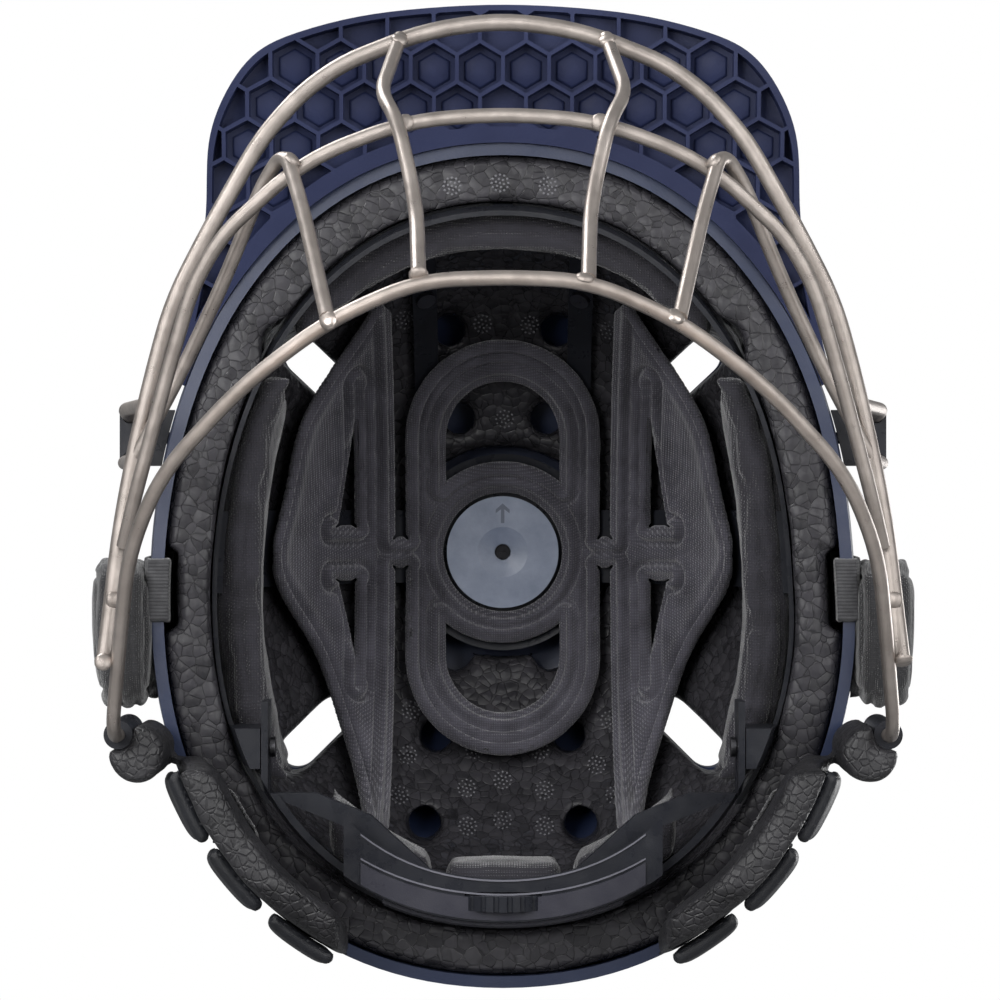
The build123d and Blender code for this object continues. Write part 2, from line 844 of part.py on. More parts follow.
def guard_screw(side, play):
    """The screw that holds a bracket, with play around it."""
    height = loop_top - bar_radius - guard_screw_radius - 3 * clearance
    outer = shell_half_width + bracket_wall
    place = Pos(side * (outer - guard_screw_length / 2), bracket_y, height) * Rot(0, 90, 0)
    body = place * Cylinder(guard_screw_radius + play, guard_screw_length + 2 * play)
    sunk = Pos(side * (outer - guard_screw_head_height / 2), bracket_y, height) * Rot(0, 90, 0)
    return body + sunk * Cylinder(guard_screw_head + play, guard_screw_head_height + 2 * play)


def make_guard_screws():
    return Compound(children=[guard_screw(side, 0).solid() for side in (-1, 1)])


def strap_zone(side, extra, low, high):
    half = webbing_width / 2 + extra
    return span(*outward(side), webbing_y - half, webbing_y + half, low, high)


def strap_notch(side):
    deep = liner_outer + webbing_wall + anchor_bar_wall
    return layer(shell_wall, deep) & strap_zone(side, 3 * clearance + anchor_margin, -beyond, notch_high)


def make_chin_strap(side):
    """Webbing from inside the shell, round its rim and up the outside."""
    rim = -rim_ear_drop - webbing_rim_gap
    inside = layer(liner_outer, liner_outer + webbing_wall)
    inside = inside & strap_zone(side, 0, rim, anchor_high - anchor_bar_height)
    outside = layer(-clearance - webbing_wall, -clearance)
    outside = outside & strap_zone(side, 0, rim, sleeve_high - webbing_width / 2)
    turn = layer(-clearance - webbing_wall, liner_outer + webbing_wall)
    return inside + outside + (turn & strap_zone(side, 0, rim - webbing_wall, rim))


def make_strap_anchor(side):
    body = layer(liner_outer, liner_outer + anchor_bar_wall)
    return body & strap_zone(side, anchor_margin, anchor_high - anchor_bar_height, anchor_high)


def make_strap_sleeve(side):
    inner = -2 * clearance - webbing_wall
    body = layer(inner - sleeve_wall, inner)
    half = sleeve_width / 2
    zone = span(*outward(side), sleeve_y - half, sleeve_y + half, sleeve_low, sleeve_high)
    return body & fillet(zone.edges().filter_by(Axis.X), sleeve_corner_radius)


def neck_zone(side, low, high):
    return span(*outward(side, neck_half_gap), neck_front_y, beyond, low, high)


def hinge_cylinder(side, radius, low, high):
    return post(side * hinge_x, hinge_y, radius, low, high)


def make_neck_foam(side):
    body = layer(-neck_proud, neck_inner) & neck_zone(side, neck_low, neck_high)
    roll = post(side * (hinge_x - roll_inward), hinge_y + roll_offset_y, roll_radius, roll_low, neck_high)
    body = body + roll
    body = body - hinge_cylinder(side, clip_radius, roll_low, neck_high)
    return body - floor_block()


def make_neck_clip(side):
    middle = (roll_low + neck_high) / 2
    low, high = middle - clip_height, middle + clip_height
    bore = hinge_cylinder(side, bar_radius + clip_play, low, high)
    return hinge_cylinder(side, clip_radius, low, high) - bore


def make_neck_blocks(side):
    """Three raised blocks on the outside, up over the shell's rim."""
    inner = -neck_proud - 2 * clearance
    zone = span(-beyond, beyond, 0, beyond, neck_high - block_overlap, block_high)
    body = layer(inner - block_wall, inner) & zone
    start = degrees(atan2(block_start_y - station_y, shell_half_width))
    stop = degrees(atan2(shell_rear, neck_half_gap + block_margin))
    step = (stop - start) / block_count
    blocks = []
    for number in range(block_count):
        turn = start + step * number + step / 2
        width = radians(step) * shell_half_width - block_gap
        place = Pos(0, station_y, 0) * Rot(0, 0, turn if side > 0 else 180 - turn)
        blocks.append(place * Pos(shell_half_width, 0, 0) * Box(shell_half_width, width, beyond))
    return Compound(children=[(body & block).solid() for block in blocks])


def make_hook_strip(side):
    depth = neck_inner + clearance
    low = (neck_low + neck_high) / 2
    reach = outward(side, neck_half_gap + hook_width)
    zone = span(*reach, neck_front_y + roll_radius, beyond, low, neck_high - block_gap)
    return layer(depth, depth + hook_wall) & zone


@cache
def resting_height():
    """The lowest height of the chin bar once the helmet is pitched."""
    chin = Rot(-pitch, 0, 0) * full_bar(bottom_bar_shares, bar_radius)
    return chin.bounding_box().min.Z


def floor_block():
    """Everything below the surface that the helmet stands on, in the modelling frame."""
    return Rot(pitch, 0, 0) * span(-beyond, beyond, -beyond, beyond, -beyond, resting_height())


def pitched(piece):
    """Pitches the helmet and puts its lowest point at zero height."""
    return Pos(0, 0, -resting_height()) * Rot(-pitch, 0, 0) * piece


def build_all():
    """Every node and its solid, in the modelling frame."""
    nodes = {
        "shell": make_shell(),
        "impact_liner": make_liner(),
        "peak": make_peak(),
        "crown_hub": make_hub(),
        "crown_boss": make_boss(),
        "hub_screw": make_hub_screw(),
        "cradle_frame": make_cradle_frame(),
        "cradle_rivets": make_cradle_rivets(),
        "comfort_pad": make_comfort_pad(),
        "headband": make_headband(),
        "headband_rivets": make_band_rivets(),
        "brow_pad": make_brow_pad(),
        "arm_pins": make_arm_pins(),
        "fit_housing": make_housing(),
        "fit_cover": make_cover(),
        "fit_dial": make_dial(),
        "fit_pinion": make_pinion(),
        "fit_shaft": make_shaft(),
        "nape_yoke": make_yoke(),
        "nape_pad_centre": make_nape_pad(0),
        "top_bar": full_bar(top_bar_shares, top_bar_radius),
        "middle_bar": full_bar(middle_bar_shares, bar_radius),
        "bottom_bar": full_bar(bottom_bar_shares, bar_radius),
        "guard_screws": make_guard_screws(),
    }
    pairs = {
        "side_pad": make_side_pad,
        "nape_pad": make_nape_pad,
        "rear_arm": make_rear_arm,
        "inner_upright": lambda side: upright(inner_upright_shares, side),
        "outer_upright": lambda side: upright(outer_upright_shares, side),
        "mounting_loop": mounting_loop,
        "temple_bracket": make_bracket,
        "chin_strap": make_chin_strap,
        "strap_anchor": make_strap_anchor,
        "strap_sleeve": make_strap_sleeve,
        "neck_guard": make_neck_foam,
        "neck_clip": make_neck_clip,
        "neck_blocks": make_neck_blocks,
        "hook_strip": make_hook_strip,
    }
    for name, maker in pairs.items():
        nodes[name + "_left"] = maker(-1)
        nodes[name + "_right"] = maker(1)
    nodes["temple_bracket_right"] = flipped(nodes["temple_bracket_left"])
    return nodes


os.makedirs("parts", exist_ok=True)
pieces = {name: pitched(piece) for name, piece in build_all().items()}
boxes = [piece.bounding_box() for piece in pieces.values()]
middle_y = (min(box.min.Y for box in boxes) + max(box.max.Y for box in boxes)) / 2
print("middle_y", middle_y)
for name, piece in pieces.items():
    export_step(Pos(0, -middle_y, 0) * piece, "parts/" + name + ".step")
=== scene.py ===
import json
import math

import bmesh
import bpy
import numpy as np
from mathutils import Matrix, Vector, noise
from mathutils.bvhtree import BVHTree
from mathutils.kdtree import KDTree


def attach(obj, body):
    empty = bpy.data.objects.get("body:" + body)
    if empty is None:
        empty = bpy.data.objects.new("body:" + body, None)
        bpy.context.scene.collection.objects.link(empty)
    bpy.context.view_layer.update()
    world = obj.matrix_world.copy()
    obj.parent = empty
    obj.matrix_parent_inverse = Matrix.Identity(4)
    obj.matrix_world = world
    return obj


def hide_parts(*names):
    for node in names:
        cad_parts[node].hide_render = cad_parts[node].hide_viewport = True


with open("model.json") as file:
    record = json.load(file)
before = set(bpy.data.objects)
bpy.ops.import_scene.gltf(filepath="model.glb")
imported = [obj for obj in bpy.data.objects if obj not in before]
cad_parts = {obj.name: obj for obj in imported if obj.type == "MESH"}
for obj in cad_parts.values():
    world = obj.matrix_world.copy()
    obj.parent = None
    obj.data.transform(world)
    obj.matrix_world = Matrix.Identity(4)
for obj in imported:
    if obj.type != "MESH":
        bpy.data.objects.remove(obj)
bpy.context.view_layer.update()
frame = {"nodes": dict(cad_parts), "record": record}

MM = 0.001
SIDES = ("left", "right")

# The rim frame: x across, y towards the back of the rim plane, z along the rim's normal towards the crown
HEAD_MOUNT = next(m for m in frame["record"]["mounts"] if m["name"] == "head_opening")
RIM_ACROSS = Vector((1, 0, 0))
RIM_UP = -Vector(HEAD_MOUNT["axis"])
RIM_BACK = Vector((0, RIM_UP.z, -RIM_UP.y))
# The head mount lies this far behind the rim frame's origin
MOUNT_Y = 20.0 * MM
RIM_ORIGIN = Vector(HEAD_MOUNT["pos_m"]) - RIM_BACK * MOUNT_Y

# Camera of the photograph, in pixels and millimetres
PHOTO_PX = 1000
FOCAL_PX = 2952
EYE_DISTANCE = 900.0
MIDDLE_PX = (503, 500)
SENSOR = 36.0
# Nearest and furthest distance that the camera draws, in metres
CAMERA_CLIP = (0.05, 20)


def rim(x, y, z):
    """A point given in millimetres in the rim frame."""
    return RIM_ORIGIN + RIM_ACROSS * x * MM + RIM_BACK * y * MM + RIM_UP * z * MM


def rim_vector(x, y, z):
    """A direction given in the rim frame."""
    return RIM_ACROSS * x + RIM_BACK * y + RIM_UP * z


def to_rim(point):
    """Rim coordinates in millimetres of a point in metres."""
    d = Vector(point) - RIM_ORIGIN
    return Vector((d.x, d.dot(RIM_BACK), d.dot(RIM_UP))) / MM


def pixel_ray(px, py):
    """The way from the eye through a pixel of the photograph."""
    x = (px - MIDDLE_PX[0]) / FOCAL_PX
    y = (py - MIDDLE_PX[1]) / FOCAL_PX
    return rim_vector(x, y, 1).normalized()


EYE = rim(0, 0, -EYE_DISTANCE)

# Lights: name, place in the rim frame in millimetres, width and height in metres, power in watts
LIGHT_AIM = (0, 10, 60)
RIM_LIGHTS = (
    ("soft_box_left", (-560, -300, -620), (0.3, 0.9), 9.0),
    ("soft_box_right", (600, -240, -620), (0.3, 0.9), 6.5),
    ("soft_box_front", (0, -600, -580), (0.9, 0.22), 3.2),
    ("soft_box_back", (60, 700, -560), (0.9, 0.25), 1.1),
    ("strip_left", (-330, -330, -860), (0.1, 0.5), 3.6),
    ("strip_right", (290, -300, -880), (0.1, 0.5), 1.7),
)
# The same for lights above the floor, with their places in metres
HIGH_LIGHTS = (
    ("high_key", (-0.9, -1.0, 1.3), (0.8, 0.8), 14.0),
    ("high_fill", (1.1, 0.6, 1.0), (0.8, 0.8), 8.0),
)
BACKDROP_WHITE = (1, 1, 1, 1)
AMBIENT_COLOR = (0.95, 0.97, 1, 1)
AMBIENT_STRENGTH = 0.2
FLOOR_COLOR = (0.86, 0.86, 0.86, 1)
FLOOR_ROUGHNESS = 0.9
# Distances in metres from the middle over which the floor fades out
FLOOR_FADE = (0.25, 1.3)

# Textures: a wave texture of scale 1 repeats over this length in metres
WAVE_TURN = 2 * math.pi / 20
BEAD_SCALE = 290
BEAD_WOBBLE = 1.3 * MM
BEAD_WOBBLE_SCALE = 220
RIB_TEXTURE_SCALE = 155
YARN_TEXTURE_SCALE = 300

# Making the soft forms, with the sharp edges' angle in radians
WELD_DISTANCE = 0.02 * MM
SHARP_ANGLE = 0.9
EDGE_STEP = 0.6 * MM
CLOTH_FRAMES = 20
CLOTH_VOXEL = 4.0 * MM
TINY = 1e-9

# Their seams, folds and ribs, in millimetres, with the scales of their noise
SEAM_INSET = 5.0
SEAM_WIDTH = 0.9
FOLD_REACH = 9.0
FOLD_SCALE = 160
SWELL_SCALE = 60
SWELL_SHARE = 0.8
# The comfort pad's lip, and the height, inset and width of the ridges and grooves along its edges
LIP_DROP = 1.0
LIP_WIDTH = 0.7
PAD_RIDGES = ((1.5, 2.3, 1.2), (-2.3, 4.6, 0.75), (0.5, 7.6, 2.0))
PAD_UNEVEN = 0.12
PAD_UNEVEN_SCALE = 130
WEBBING_RIB = 2.2
WEBBING_RIB_HEIGHT = 0.3
PILE_HEIGHT = 0.45
PILE_SCALE = 1300
TAPE_EDGE_DROP = 0.3
TAPE_EDGE_WIDTH = 0.6

# Details seen in the photograph, in its pixels
DOT_PITCH_PX = 4.2
DOT_CLUSTERS = (
    (483, 324), (530, 325), (505, 419), (405, 320), (610, 330), (411, 710), (408, 755),
    (467, 788), (503, 780), (545, 790), (610, 720), (597, 765), (468, 826), (503, 820),
    (545, 826), (400, 795), (615, 795), (475, 750), (540, 750), (452, 186), (500, 183),
    (548, 186), (462, 600), (545, 600), (300, 600), (712, 610),
)
WELDS = (
    (418, 276), (585, 276), (327, 320), (677, 315), (400, 38), (606, 38), (404, 122),
    (600, 122), (293, 158), (712, 160), (103, 661), (904, 661), (115, 600), (893, 600),
)

# Sizes of those details, in millimetres
DOT_RADIUS = 0.42
DOT_HEIGHT = 0.25
WELD_RADIUS = 2.6
WELD_HEIGHT = 1.3
WELD_SINK = 0.5
# Dots in each ring of a cluster, and the turn from ring to ring
DOT_RINGS = (1, 6, 12)
DOT_RING_TURN = 0.26
# A dot is left out where the foam's normal runs less than this against the line of sight
DOT_FACING = -0.15
# A lump's dome sweeps this many quarter turns, and its radius varies by about this share
LUMP_SWEEP = 1.15
LUMP_UNEVEN = 0.12
LUMP_SEED_STEP = 3.1

# The pale strip beneath the fit housing, and the thin paler lines along its steps that are painted
# highlight, in millimetres
STRIP_HALF_LENGTH = 42.0
STRIP_STEPS = 24
STRIP_WIDTH = 6.5
STRIP_MARGIN = 0.6
STRIP_WALL = 0.5
STRIP_SINK = 0.05
HIGHLIGHT_GAP = 0.9
HIGHLIGHT_WIDTH = 0.5
HIGHLIGHT_INSET = 0.3
# The housing's walls are looked for from these places in y, this far above its underside
HOUSING_PROBES = (60, 200)
HOUSING_PROBE_RISE = 0.4

# The hexagonal pockets of the peak and the plates in them, in millimetres
CELL_SIDES = 6
CELL_PITCH = 14.0
CELL_RIB = 1.15
CELL_ROWS = 12
CELL_COLUMNS = 8
CELL_ROW_SHARE = 0.55
CELL_FRONT_Y = -150.0
CELL_PROBE_Z = -225.0
PLATE_RISE = 0.9
PLATE_WARP = 0.7
# Share of the pocket's radius and of the rise, for each ring of a plate from its middle outwards
PLATE_RINGS = ((0.62, 1.0), (0.7, 0.7), (0.76, -0.1))

# The hub's arrow, in millimetres: one half of its outline from the tail on, and the tip
ARROW_WALL = 0.15
ARROW_HALF = ((-0.6, 8.0), (-0.6, 3.2), (-2.4, 4.6), (-2.4, 3.3))
ARROW_TIP = (0, 1.2)


# Stage, camera and lights

def link(thing):
    """Puts an object in the scene."""
    bpy.context.scene.collection.objects.link(thing)


def make_camera():
    """The photograph's camera, beneath the helmet on the rim's normal, with the face at the top."""
    data = bpy.data.cameras.new("camera")
    data.sensor_width = SENSOR
    data.lens = SENSOR * FOCAL_PX / PHOTO_PX
    data.clip_start, data.clip_end = CAMERA_CLIP
    camera = bpy.data.objects.new("camera", data)
    link(camera)
    turn = Matrix((RIM_ACROSS, -RIM_BACK, -RIM_UP)).transposed().to_4x4()
    offset = RIM_ACROSS * ((PHOTO_PX / 2 - MIDDLE_PX[0]) * EYE_DISTANCE / FOCAL_PX * MM)
    camera.matrix_world = Matrix.Translation(EYE + offset) @ turn
    bpy.context.scene.camera = camera


def make_area_light(name, place, size, power):
    data = bpy.data.lights.new(name, "AREA")
    data.shape = "RECTANGLE"
    data.size, data.size_y = size
    data.energy = power
    light = bpy.data.objects.new(name, data)
    light.location = place
    light.rotation_mode = "QUATERNION"
    light.rotation_quaternion = (rim(*LIGHT_AIM) - place).to_track_quat("-Z", "Y")
    link(light)


def make_lights():
    for name, place, size, power in RIM_LIGHTS:
        make_area_light(name, rim(*place), size, power)
    for name, place, size, power in HIGH_LIGHTS:
        make_area_light(name, Vector(place), size, power)


def make_world():
    """White as the camera sees it, and a faint cool light on the object."""
    world = bpy.data.worlds.new("studio")
    bpy.context.scene.world = world
    world.use_nodes = True
    nodes, links = world.node_tree.nodes, world.node_tree.links
    nodes.clear()
    out = nodes.new("ShaderNodeOutputWorld")
    mix = nodes.new("ShaderNodeMixShader")
    path = nodes.new("ShaderNodeLightPath")
    seen = nodes.new("ShaderNodeBackground")
    lit = nodes.new("ShaderNodeBackground")
    seen.inputs["Color"].default_value = BACKDROP_WHITE
    seen.inputs["Strength"].default_value = 1.0
    lit.inputs["Color"].default_value = AMBIENT_COLOR
    lit.inputs["Strength"].default_value = AMBIENT_STRENGTH
    links.new(path.outputs["Is Camera Ray"], mix.inputs["Fac"])
    links.new(lit.outputs[0], mix.inputs[1])
    links.new(seen.outputs[0], mix.inputs[2])
    links.new(mix.outputs[0], out.inputs["Surface"])
    view = bpy.context.scene.view_settings
    view.view_transform = "Standard"
    view.look = "None"


def make_floor():
    """A pale floor that is only seen from above, so that it never hides the helmet from below."""
    half = FLOOR_FADE[1]
    corners = [(-half, -half, 0), (half, -half, 0), (half, half, 0), (-half, half, 0)]
    mesh = bpy.data.meshes.new("floor")
    mesh.from_pydata(corners, [], [(0, 1, 2, 3)])
    floor = bpy.data.objects.new("floor", mesh)
    link(floor)
    mat = bpy.data.materials.new("floor")
    mat.use_nodes = True
    nodes, links = mat.node_tree.nodes, mat.node_tree.links
    shader = nodes["Principled BSDF"]
    shader.inputs["Base Color"].default_value = FLOOR_COLOR
    shader.inputs["Roughness"].default_value = FLOOR_ROUGHNESS
    clear = nodes.new("ShaderNodeBsdfTransparent")
    mix = nodes.new("ShaderNodeMixShader")
    side = nodes.new("ShaderNodeNewGeometry")
    place = nodes.new("ShaderNodeTexCoord")
    reach = nodes.new("ShaderNodeVectorMath")
    reach.operation = "LENGTH"
    fade = nodes.new("ShaderNodeMapRange")
    fade.interpolation_type = "SMOOTHSTEP"
    fade.inputs["From Min"].default_value, fade.inputs["From Max"].default_value = FLOOR_FADE
    hidden = nodes.new("ShaderNodeMath")
    hidden.operation = "MAXIMUM"
    links.new(place.outputs["Object"], reach.inputs[0])
    links.new(reach.outputs["Value"], fade.inputs["Value"])
    links.new(fade.outputs["Result"], hidden.inputs[0])
    links.new(side.outputs["Backfacing"], hidden.inputs[1])
    links.new(hidden.outputs[0], mix.inputs["Fac"])
    links.new(shader.outputs[0], mix.inputs[1])
    links.new(clear.outputs[0], mix.inputs[2])
    links.new(mix.outputs[0], nodes["Material Output"].inputs["Surface"])
    mesh.materials.append(mat)
    floor.visible_shadow = False


# Materials

class Finish:
    """A node material around one Principled shader, with helpers for its textures."""

    def __init__(self, name, color, roughness, metallic=0.0):
        self.mat = bpy.data.materials.new(name)
        self.mat.use_nodes = True
        self.nodes = self.mat.node_tree.nodes
        self.links = self.mat.node_tree.links
        self.shader = self.nodes["Principled BSDF"]
        self.shader.inputs["Base Color"].default_value = (*color, 1)
        self.shader.inputs["Roughness"].default_value = roughness
        self.shader.inputs["Metallic"].default_value = metallic
        self.place = self.nodes.new("ShaderNodeTexCoord").outputs["Object"]
        self.bumped = None

    def set(self, **values):
        for name, value in values.items():
            self.shader.inputs[name.replace("_", " ")].default_value = value
        return self

    def texture(self, kind, scale, output="Fac", **settings):
        node = self.nodes.new(kind)
        self.links.new(self.place, node.inputs["Vector"])
        node.inputs["Scale"].default_value = scale
        for name, value in settings.items():
            if name in node.inputs:
                node.inputs[name].default_value = value
            else:
                setattr(node, name.lower(), value)
        return node.outputs[output]

    def noise(self, scale, detail=4.0, roughness=0.6):
        return self.texture("ShaderNodeTexNoise", scale, Detail=detail, Roughness=roughness)

    def ramp(self, value, low, high, start, end):
        """value from low to high gives start to end, for numbers or colours."""
        if isinstance(start, tuple):
            node = self.nodes.new("ShaderNodeValToRGB")
            node.color_ramp.elements[0].position = low
            node.color_ramp.elements[1].position = high
            node.color_ramp.elements[0].color = (*start, 1)
            node.color_ramp.elements[1].color = (*end, 1)
            self.links.new(value, node.inputs["Fac"])
            return node.outputs["Color"]
        node = self.nodes.new("ShaderNodeMapRange")
        self.links.new(value, node.inputs["Value"])
        for name, number in (("From Min", low), ("From Max", high), ("To Min", start), ("To Max", end)):
            node.inputs[name].default_value = number
        return node.outputs["Result"]

    def math(self, kind, a, b):
        node = self.nodes.new("ShaderNodeMath")
        node.operation = kind
        for index, value in enumerate((a, b)):
            if isinstance(value, (int, float)):
                node.inputs[index].default_value = value
            else:
                self.links.new(value, node.inputs[index])
        return node.outputs[0]

    def color(self, value, low, high, start, end):
        self.links.new(self.ramp(value, low, high, start, end), self.shader.inputs["Base Color"])
        return self

    def rough(self, value, low, high, start, end):
        self.links.new(self.ramp(value, low, high, start, end), self.shader.inputs["Roughness"])
        return self

    def bump(self, value, height, strength=1.0):
        """Adds a bump of that height in millimetres to those before it."""
        node = self.nodes.new("ShaderNodeBump")
        node.inputs["Strength"].default_value = strength
        node.inputs["Distance"].default_value = height * MM
        self.links.new(value, node.inputs["Height"])
        if self.bumped:
            self.links.new(self.bumped, node.inputs["Normal"])
        self.bumped = node.outputs["Normal"]
        self.links.new(self.bumped, self.shader.inputs["Normal"])
        return self


def satin_paint(name, dark, light, roughness, coat=0.15, specular=0.5):
    """Sprayed satin paint on a moulded shell: faint orange peel and slow changes of tone."""
    f = Finish(name, dark, roughness)
    f.set(Coat_Weight=coat, Coat_Roughness=0.35, Specular_IOR_Level=specular)
    f.color(f.noise(18, 3), 0.3, 0.7, dark, light)
    f.rough(f.noise(60, 4), 0.3, 0.7, roughness - 0.06, roughness + 0.1)
    return f.bump(f.noise(1400, 2), 0.05).bump(f.noise(260, 3), 0.12).mat


def moulded_plastic(name, dark, light, roughness, grain=0.06, specular=0.4):
    """Injection-moulded plastic with a fine spark-eroded grain."""
    f = Finish(name, dark, roughness)
    f.set(Specular_IOR_Level=specular)
    f.color(f.noise(40, 4), 0.25, 0.75, dark, light)
    f.rough(f.noise(150, 5), 0.3, 0.7, roughness - 0.08, roughness + 0.12)
    return f.bump(f.noise(2600, 2), grain).mat


def beaded_foam():
    """Expanded foam: crushed shiny beads of about 3 mm, each of its own tone, with thin creases between
    them whose colour is darkened as painted shade.
    """
    f = Finish("beaded_foam", (0.02, 0.02, 0.022), 0.34)
    wobble = f.nodes.new("ShaderNodeVectorMath")
    wobble.operation = "SCALE"
    wobble.inputs["Scale"].default_value = BEAD_WOBBLE
    f.links.new(f.texture("ShaderNodeTexNoise", BEAD_WOBBLE_SCALE, "Color"), wobble.inputs[0])
    moved = f.nodes.new("ShaderNodeVectorMath")
    moved.operation = "ADD"
    f.links.new(f.place, moved.inputs[0])
    f.links.new(wobble.outputs[0], moved.inputs[1])
    f.place = moved.outputs[0]
    creases = f.texture("ShaderNodeTexVoronoi", BEAD_SCALE, "Distance", feature="DISTANCE_TO_EDGE")
    beads = f.texture("ShaderNodeTexVoronoi", BEAD_SCALE, "Distance", feature="SMOOTH_F1", Smoothness=0.3)
    own = f.nodes.new("ShaderNodeSeparateColor")
    f.links.new(f.texture("ShaderNodeTexVoronoi", BEAD_SCALE, "Color", feature="F1"), own.inputs[0])
    # This mask sinks the creases between the beads as a bump and also darkens their colour: painted shade
    # in the creases
    crease_relief_and_shade = f.ramp(creases, 0.0, 0.07, 0.25, 1.0)
    blotches = f.math("ADD", f.math("MULTIPLY", own.outputs[0], 0.6), f.noise(170, 4))
    tone = f.math("MULTIPLY", blotches, crease_relief_and_shade)
    f.color(tone, 0.05, 1.1, (0.007, 0.007, 0.008), (0.03, 0.029, 0.033))
    f.rough(own.outputs[1], 0.0, 1.0, 0.12, 0.36)
    f.bump(crease_relief_and_shade, 0.16, 0.8)
    f.bump(f.ramp(beads, 0.1, 0.7, 1.0, 0.0), 0.5, 0.7)
    f.bump(f.noise(1100, 3), 0.07, 0.6)
    return f.mat


def knit_fabric(name, dark, light, pitch=0.8):
    """Fine warp-knit cloth: crossing ribs of thread, pitch millimetres apart, with a soft bloom."""
    f = Finish(name, dark, 0.88)
    f.set(Sheen_Weight=0.4, Sheen_Roughness=0.4, Specular_IOR_Level=0.35)
    scale = WAVE_TURN / (pitch * MM)
    waves = [f.texture("ShaderNodeTexWave", scale, bands_direction=direction) for direction in "XYZ"]
    crossing = f.math("MULTIPLY", waves[0], waves[1])
    weave = f.math("MULTIPLY", crossing, waves[2])
    grain = f.math("ADD", f.noise(90, 5), f.math("MULTIPLY", crossing, 0.5))
    f.color(grain, 0.35, 1.0, dark, light)
    f.bump(weave, 0.35, 0.8)
    f.bump(f.noise(1900, 4), 0.18)
    f.bump(f.noise(34, 3), 0.9, 0.5)
    return f.mat


def ribbed_webbing():
    """Woven polyester webbing with ribs across its length."""
    f = Finish("webbing", (0.02, 0.02, 0.022), 0.7)
    f.set(Sheen_Weight=0.2, Specular_IOR_Level=0.4)
    turned = f.nodes.new("ShaderNodeMapping")
    f.links.new(f.place, turned.inputs["Vector"])
    turned.inputs["Rotation"].default_value = (math.atan2(RIM_UP.y, RIM_UP.z), 0, 0)
    f.place = turned.outputs[0]
    ribs = f.texture("ShaderNodeTexWave", RIB_TEXTURE_SCALE, bands_direction="Z")
    yarn = f.texture("ShaderNodeTexWave", YARN_TEXTURE_SCALE, bands_direction="Y")
    f.color(f.noise(300, 3), 0.3, 0.7, (0.012, 0.012, 0.014), (0.035, 0.035, 0.038))
    return f.bump(ribs, 0.5).bump(yarn, 0.15).bump(f.noise(2400, 3), 0.1).mat


def wire_paint():
    """Champagne coating of the guard's wire, a little uneven in tone and gloss."""
    f = Finish("wire_paint", (0.35, 0.31, 0.285), 0.32, 0.88)
    f.color(f.noise(70, 5), 0.3, 0.7, (0.33, 0.292, 0.266), (0.44, 0.394, 0.362))
    f.rough(f.noise(240, 5), 0.3, 0.7, 0.26, 0.42)
    return f.bump(f.noise(1500, 3), 0.04).mat


def leather_foam(name, dark, light):
    """Skinned foam with a pebbled leather grain."""
    f = Finish(name, dark, 0.5)
    pebbles = f.texture("ShaderNodeTexVoronoi", 400, "Distance", feature="DISTANCE_TO_EDGE")
    f.color(f.noise(120, 4), 0.3, 0.7, dark, light)
    f.rough(f.noise(200, 4), 0.3, 0.7, 0.34, 0.55)
    f.bump(f.ramp(pebbles, 0.0, 0.14, 0.0, 1.0), 0.3, 0.8)
    return f.bump(f.noise(90, 3), 0.5, 0.5).bump(f.noise(1500, 3), 0.08).mat


def steel(name, color):
    """Steel of small screws and rivets, with slightly uneven gloss."""
    f = Finish(name, color, 0.34, 1.0)
    f.rough(f.noise(500, 4), 0.3, 0.7, 0.25, 0.42)
    return f.bump(f.noise(1800, 2), 0.03).mat


def hub_plastic():
    """Grey-blue plastic of the hub's disc, faintly mottled and uneven."""
    f = Finish("hub_plastic", (0.16, 0.19, 0.26), 0.36)
    f.color(f.noise(110, 5), 0.3, 0.75, (0.13, 0.155, 0.215), (0.2, 0.23, 0.3))
    f.rough(f.noise(300, 5), 0.3, 0.7, 0.3, 0.46)
    return f.bump(f.noise(1800, 3), 0.05).bump(f.noise(45, 3), 0.25, 0.5).mat


def hook_pile():
    """Hook-and-loop tape: a dense pile of tiny dark hooks."""
    f = Finish("hook_pile", (0.012, 0.012, 0.014), 0.8)
    f.set(Sheen_Weight=0.3)
    f.color(f.noise(1500, 4), 0.35, 0.7, (0.006, 0.006, 0.007), (0.05, 0.05, 0.055))
    pile = f.texture("ShaderNodeTexVoronoi", 1100, "Distance")
    return f.bump(pile, 0.8).bump(f.noise(2400, 4), 0.3).mat


def paint_nodes(looks):
    """Gives each CAD node its finish."""
    for finish, names in looks:
        for name in names:
            mesh = frame["nodes"][name].data
            for index in range(len(mesh.materials)):
                mesh.materials[index] = finish
            if not mesh.materials:
                mesh.materials.append(finish)


def both(*names):
    """The left and right node of each name."""
    return [name + "_" + side for name in names for side in SIDES]


GUARD_BARS = ["top_bar", "middle_bar", "bottom_bar"]
GUARD_WIRES = GUARD_BARS + both("inner_upright", "outer_upright", "mounting_loop")


# Soft pieces

def copy_node(node):
    """A new object with the CAD node's shape in it."""
    source = frame["nodes"][node]
    mesh = source.data.copy()
    mesh.materials.clear()
    piece = bpy.data.objects.new(node + "_form", mesh)
    piece.matrix_world = source.matrix_world.copy()
    link(piece)
    return piece


def apply_modifiers(piece):
    graph = bpy.context.evaluated_depsgraph_get()
    mesh = bpy.data.meshes.new_from_object(piece.evaluated_get(graph))
    piece.modifiers.clear()
    piece.data = mesh


def edge_tree(mesh):
    """A search tree of points along the mesh's sharp edges."""
    work = bmesh.new()
    work.from_mesh(mesh)
    bmesh.ops.remove_doubles(work, verts=work.verts, dist=WELD_DISTANCE)
    points = []
    for edge in work.edges:
        if len(edge.link_faces) == 2 and edge.calc_face_angle(0) > SHARP_ANGLE:
            a, b = edge.verts[0].co, edge.verts[1].co
            count = max(1, int((b - a).length / EDGE_STEP))
            points += [a.lerp(b, i / count) for i in range(count + 1)]
    work.free()
    tree = KDTree(len(points))
    for index, point in enumerate(points):
        tree.insert(point, index)
    tree.balance()
    return tree


